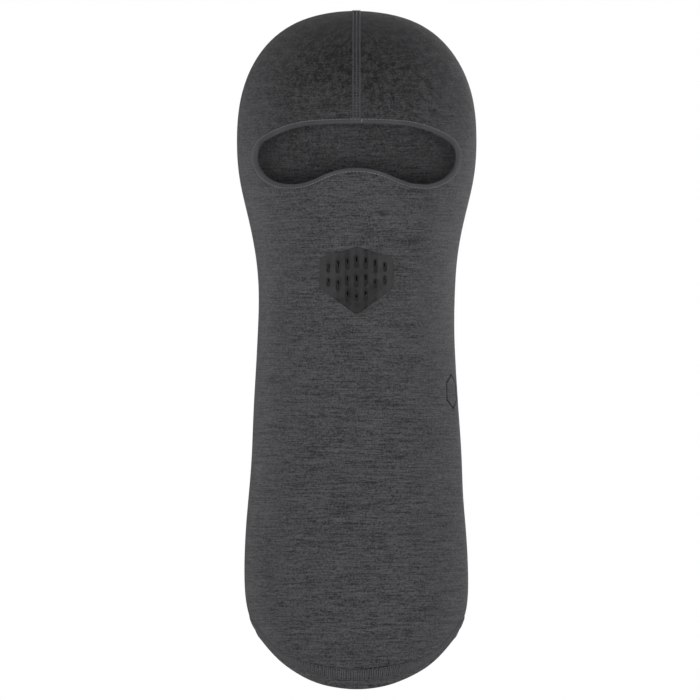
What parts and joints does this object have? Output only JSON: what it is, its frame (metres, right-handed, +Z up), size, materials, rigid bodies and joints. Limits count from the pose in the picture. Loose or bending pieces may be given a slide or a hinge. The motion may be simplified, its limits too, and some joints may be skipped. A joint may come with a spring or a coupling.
{
  "type": "full-face knitted balaclava",
  "caption": "Knitted full-face balaclava in its worn shape, with one wide eye opening, a six-sided slotted vent patch over the mouth and a curved bib hem",
  "frame": {"origin": "the inside of the crown, where the top of the wearer's head touches the cloth", "axes": "+Z up, the face looks along -Y, +X to the right of someone who looks at the face; +X is the narrowest way across"},
  "size_m": [0.1584, 0.2075, 0.4477],
  "materials": {
    "jersey": "heathered charcoal merino jersey, fine streaks along the courses",
    "sewing_thread": "matt textured polyester thread, slightly bluish grey",
    "binding_tape": "smooth elastic tape, folded, faint bluish grey",
    "binding_thread": "fine twisted thread, a little lighter than the tape",
    "patch_film": "satin black elastomer film",
    "patch_glue": "clear-dark hot-melt film",
    "transfer_film": "matt tone-on-tone heat transfer"
  },
  "bodies": {
    "root": {"knit_tube": "jersey", "hem_fold": "jersey", "crown_cord_left": "sewing_thread", "crown_cord_middle": "sewing_thread", "crown_cord_right": "sewing_thread", "crown_ladder_left": "sewing_thread", "crown_ladder_right": "sewing_thread", "crown_inner_thread": "sewing_thread", "eye_binding": "binding_tape", "binding_stitch_front": "binding_thread", "binding_stitch_back": "binding_thread", "binding_join_tack": "binding_thread", "vent_patch": "patch_film", "vent_patch_glue": "patch_glue", "hem_needle_thread_low": "sewing_thread", "hem_needle_thread_high": "sewing_thread", "hem_looper_thread": "sewing_thread", "hem_inner_thread": "sewing_thread", "transfer_mark": "transfer_film"}
  },
  "joints": []
}
